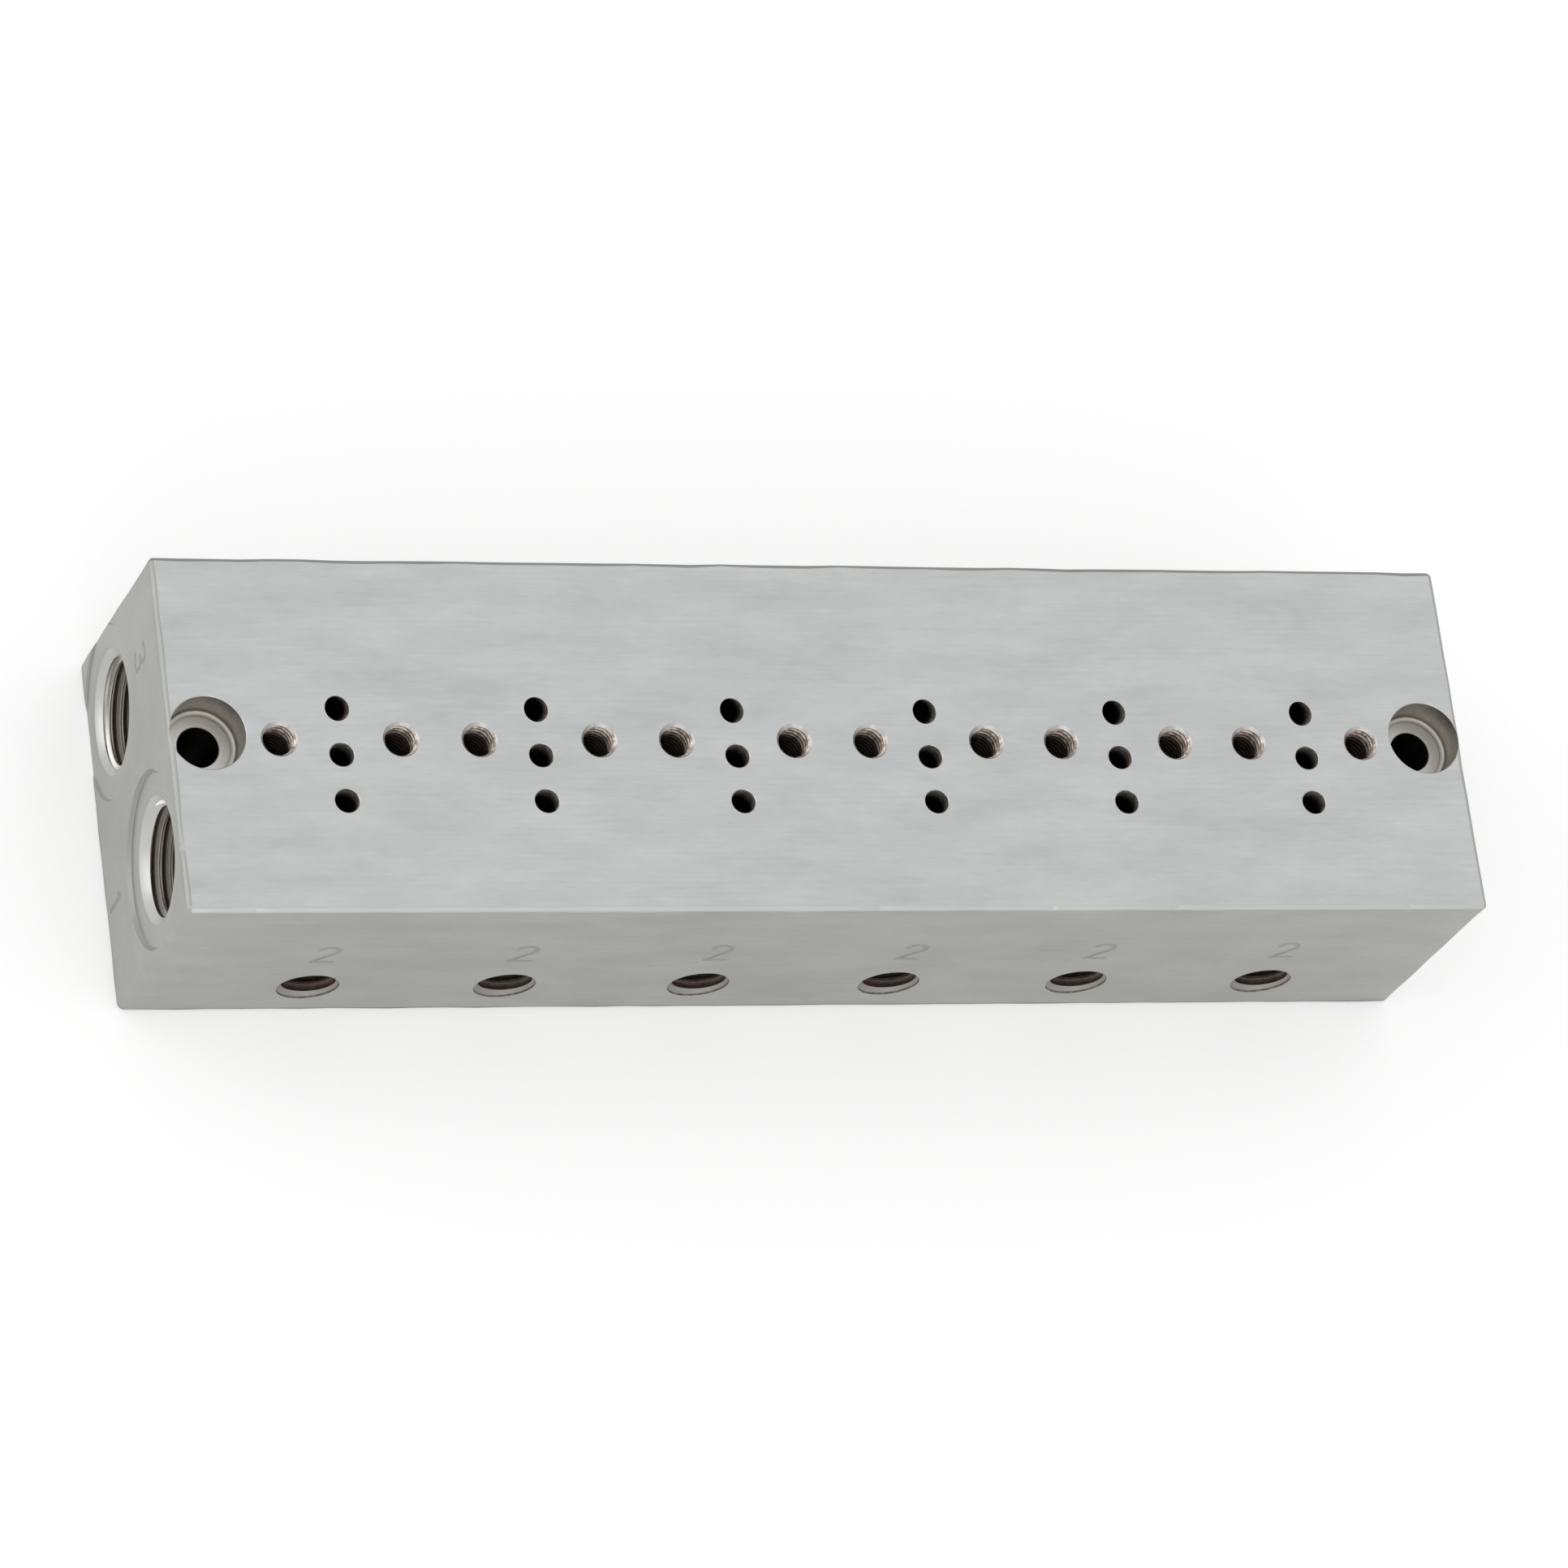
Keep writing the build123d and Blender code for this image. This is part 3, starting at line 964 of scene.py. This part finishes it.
# %% Draw the digits as strokes
NUMBER_HEIGHT = 3.1
STROKE_RADIUS, STROKE_DEPTH = 0.42, 0.085
BAR_SIDES = 16
ROUNDED_END = (30, 60, 80)  # degrees around the end of a stroke, where it narrows


def arc(across, up_to, radius, start, end, steps=9):
    """Points along an arc about (across, up_to), between two angles in degrees."""
    angles = [radians(start + (end - start) * step / steps) for step in range(steps + 1)]
    return [(across + radius * cos(angle), up_to + radius * sin(angle)) for angle in angles]


# Each stroke is a path of (across, up) points, as shares of the number's height.
DIGITS = {
    1: [[(0.0, 1.0), (0.0, 0.0)], [(-0.14, 0.82), (-0.02, 0.98)]],
    2: [arc(0.0, 0.74, 0.26, 165, -35) + [(-0.27, 0.0)], [(-0.27, 0.0), (0.28, 0.0)]],
    3: [arc(-0.02, 0.76, 0.24, 150, -90), arc(-0.02, 0.26, 0.26, 90, -150)],
}


def bent_bar(shape, points, radius, setting):
    """Add a round bar along a flat path of points, rounded at both ends."""
    stops = []
    for index, point in enumerate(points):
        ahead = points[min(index + 1, len(points) - 1)] - points[max(index - 1, 0)]
        stops.append((point, ahead.normalized(), radius))
    first, last = stops[0], stops[-1]
    for angle in ROUNDED_END:
        reach, slim = radius * sin(radians(angle)), radius * cos(radians(angle))
        stops.insert(0, (first[0] - reach * first[1], first[1], slim))
        stops.append((last[0] + reach * last[1], last[1], slim))
    rings = []
    for point, ahead, girth in stops:
        aside = Vector((-ahead.y, ahead.x, 0))
        ring = []
        for side in range(BAR_SIDES):
            angle = 2 * pi * side / BAR_SIDES
            outward = cos(angle) * aside + Vector((0, 0, sin(angle)))
            ring.append(shape.verts.new(setting @ (point + girth * outward)))
        rings.append(ring)
    for near, far in zip(rings, rings[1:]):
        for side in range(BAR_SIDES):
            after = (side + 1) % BAR_SIDES
            face = shape.faces.new((near[side], near[after], far[after], far[side]))
            # The strokes are darkened as painted shade in their grooves.
            face.material_index = RECESS_SHADE
    shape.faces.new(rings[0])
    shape.faces.new(rings[-1])


# %% Stamp the numbers beside their ports
OUTLET_NUMBER_SHIFT, OUTLET_NUMBER_Z = -0.1, 10.9
PORT_NUMBER_FEET = {1: (-7.0, 1.5), 3: (8.5, 15.2)}  # Y and Z of the digits' lower edges
LARGEST_TILT = 4  # degrees
STRIKES = (0.8, 1.1)  # the weakest and the strongest, as shares of the stroke's depth
hand = Random(3)


def stamp(shapes, digit, foot, facing):
    """Press a digit into a side face. Its foot is the middle of its lower edge."""
    reading = up.cross(facing)
    upright = facing.cross(reading)
    setting = Matrix((reading, upright, facing)).transposed().to_4x4()
    tilt = Matrix.Rotation(radians(hand.uniform(-LARGEST_TILT, LARGEST_TILT)), 4, "Z")
    lift = Vector((0, 0, STROKE_RADIUS - STROKE_DEPTH * hand.uniform(*STRIKES)))
    setting = Matrix.Translation(foot) @ setting @ tilt @ Matrix.Translation(lift)
    for shape, stroke in zip(shapes, DIGITS[digit]):
        points = [Vector((across, along, 0)) * NUMBER_HEIGHT for across, along in stroke]
        bent_bar(shape, points, STROKE_RADIUS, setting)


stamps = (bmesh.new(), bmesh.new())  # strokes that cross are cut one after the other
for x in station_xs:
    foot = Vector((x + OUTLET_NUMBER_SHIFT, -half_size.y, OUTLET_NUMBER_Z))
    stamp(stamps, 2, foot, front)
for side in (-1, 1):
    for digit, (foot_y, foot_z) in PORT_NUMBER_FEET.items():
        stamp(stamps, digit, Vector((side * half_size.x, foot_y, foot_z)), Vector((side, 0, 0)))
for number, strokes in enumerate(stamps, start=1):
    cut_away(f"stamped_strokes_{number}", strokes)

# %% [markdown]
# ## Knocks
#
# A bar that has lain in a bin with others has small nicks along its edges and a few dents in its
# faces. They could be painted into the finish, but a dent shows by the light that it bends, so
# small balls are pressed into the metal at places drawn by a seeded chance.

# %% Press nicks into the edges and dents into the faces
NICK_SHARE = 0.55  # of the broken edge's width, from the corner line to where a nick starts
NICK_DEPTH = 0.06
DENT_RADIUS, DENT_DEPTH = 0.9, 0.04
knocks = bmesh.new()
chance = Random(17)


def knock(point, outward, radius, depth, finish):
    """Press a ball so deep into the surface at a point."""
    place = Matrix.Translation(point + outward * (radius - depth))
    ball = bmesh.ops.create_icosphere(knocks, subdivisions=3, radius=radius, matrix=place)
    for face in {face for vertex in ball["verts"] for face in vertex.link_faces}:
        face.material_index = finish


def nick_edge(sides, count, reach, smallest, largest):
    """Press nicks into one edge of the bar, at chance places over a share of its length.

    The sides are -1 or 1 on the two axes across the edge, and 0 on the axis that it follows.
    """
    outward = Vector(sides).normalized()
    for _ in range(count):
        along = chance.uniform(-1, 1)
        corner = Vector(
            side * half if side else along * half * reach for side, half in zip(sides, half_size)
        )
        place = block_middle + corner - outward * EDGE_BREAK * NICK_SHARE
        radius = chance.uniform(smallest, largest)
        knock(place, outward, radius, NICK_DEPTH, edge_finish(outward))


for sides, count in (((0, -1, 1), 5), ((0, -1, -1), 4), ((0, 1, 1), 4), ((0, 1, -1), 3)):
    nick_edge(sides, count, 0.95, 0.6, 1.4)
for sides, count in (((-1, 0, 1), 2), ((-1, 0, -1), 3), ((1, 0, 1), 2), ((1, 0, -1), 2)):
    nick_edge(sides, count, 0.9, 0.5, 1.0)
knock(Vector((-52.4, -12.4, 22.0)), up, DENT_RADIUS, DENT_DEPTH, VALVE_FACE)
for x, z in ((-48.4, 12.3), (7.5, 8.0), (33.0, 15.5)):
    knock(Vector((x, -15.0, z)), front, DENT_RADIUS, DENT_DEPTH, LONG_SIDE)
bumped_corner = Vector((-54.9, -14.6, 22.0))
knock(bumped_corner, Vector((-0.2, -0.25, 1)).normalized(), 1.2, NICK_DEPTH, FILED_EDGE)
cut_away("knocks", knocks)

# %% [markdown]
# ## Shading
#
# Round walls are shaded smooth and corners sharp. Blender tells them apart by the angle between
# two faces, but the rim of a shallow stamped number turns less than that, and would melt into
# the face. So every edge where an outside finish meets the wall of a hole is marked sharp too.
# Weighted normals then let wide faces lead over the narrow ones beside them, which keeps a flat
# face flat to the light right up to its edges.

# %% Scale to metres and dress the block
SMOOTH_BELOW = 32  # degrees between two faces of a round wall
block.data.transform(Matrix.Scale(MM, 4))
block.data.shade_smooth()
block.data.set_sharp_from_angle(angle=radians(SMOOTH_BELOW))
rims = bmesh.new()
rims.from_mesh(block.data)
for edge in rims.edges:
    outside = {face.material_index < DRILLED for face in edge.link_faces}
    if len(outside) > 1:
        edge.smooth = False
rims.to_mesh(block.data)
rims.free()
print("finishes on the block:", [finish.name for finish in block.data.materials])
weigh = block.modifiers.new("flat_faces_lead", "WEIGHTED_NORMAL")
weigh.keep_sharp = True
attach(block, "root")
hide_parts("manifold_block")
block.data.calc_loop_triangles()
print("triangles:", len(block.data.loop_triangles))

# %% [markdown]
# ## Floor, background and light
#
# The block lies on a plain pale floor under soft light: a big softbox off its left end, a weaker
# one in front of its long side, and white walls all round. A floor lit by such a room comes out
# grey beside the walls. More light would whiten it and burn out the block too, so the floor
# glows a little, as the camera and mirror-like surfaces see it. It keeps the block's soft
# shadow, and its glow lights nothing.

# %% Lay the floor and the white surroundings
FLOOR_GLOW = 0.4
WALL_LIGHT, WALL_SEEN = 0.85, 1.0  # the walls' brightness as a lamp and as they are seen
floor_shape = bmesh.new()
bmesh.ops.create_grid(floor_shape, x_segments=2, y_segments=2, size=1.2)
floor_finish = bpy.data.materials.new("pale_floor")
floor_finish.use_nodes = True
tree = floor_finish.node_tree
floor_shader = tree.nodes["Principled BSDF"]
floor_shader.inputs["Base Color"].default_value = (0.7, 0.7, 0.7, 1.0)
floor_shader.inputs["Roughness"].default_value = 0.9
floor_shader.inputs["Emission Color"].default_value = (1.0, 1.0, 1.0, 1.0)


def seen_directly(tree):
    """1 for rays that show the surroundings: from the camera, a mirror or glass."""
    path = tree.nodes.new("ShaderNodeLightPath").outputs
    mirrored = reckon(tree, "MAXIMUM", path["Is Glossy Ray"], path["Is Transmission Ray"])
    return reckon(tree, "MAXIMUM", path["Is Camera Ray"], mirrored)


glow = spread(tree, seen_directly(tree), 0.0, FLOOR_GLOW)
tree.links.new(glow, floor_shader.inputs["Emission Strength"])
floor = keep_mesh("floor", floor_shape, [floor_finish])
floor.location.z = -0.02 * MM  # just below the block, so that the two faces don't fight

world = bpy.data.worlds.new("white_room")
bpy.context.scene.world = world
world.use_nodes = True
tree = world.node_tree
walls = tree.nodes["Background"]
walls.inputs["Color"].default_value = (1.0, 1.0, 1.0, 1.0)
tree.links.new(spread(tree, seen_directly(tree), WALL_LIGHT, WALL_SEEN), walls.inputs["Strength"])
print("floor at Z, metres:", floor.location.z)


# %% Hang the softboxes
def softbox(name, place, size, brightness, colour):
    """A square panel of light that faces the block, as bright as that many white walls."""
    lamp_data = bpy.data.lights.new(name, "AREA")
    lamp_data.size = size
    lamp_data.energy = brightness * pi * size**2
    lamp_data.color = colour
    lamp = bpy.data.objects.new(name, lamp_data)
    lamp.location = place
    lamp.rotation_euler = (Vector(place) - aim_point).to_track_quat("Z", "Y").to_euler()
    bpy.context.scene.collection.objects.link(lamp)


softbox("left_softbox", (-0.9, 0.25, 0.35), 0.8, 0.8, (1.0, 1.0, 1.0))
softbox("front_softbox", (-0.15, -0.9, 0.45), 0.8, 0.5, (1.0, 1.0, 1.0))

bpy.context.scene.view_settings.view_transform = "Standard"
print("lamps:", [lamp.name for lamp in bpy.data.lights])
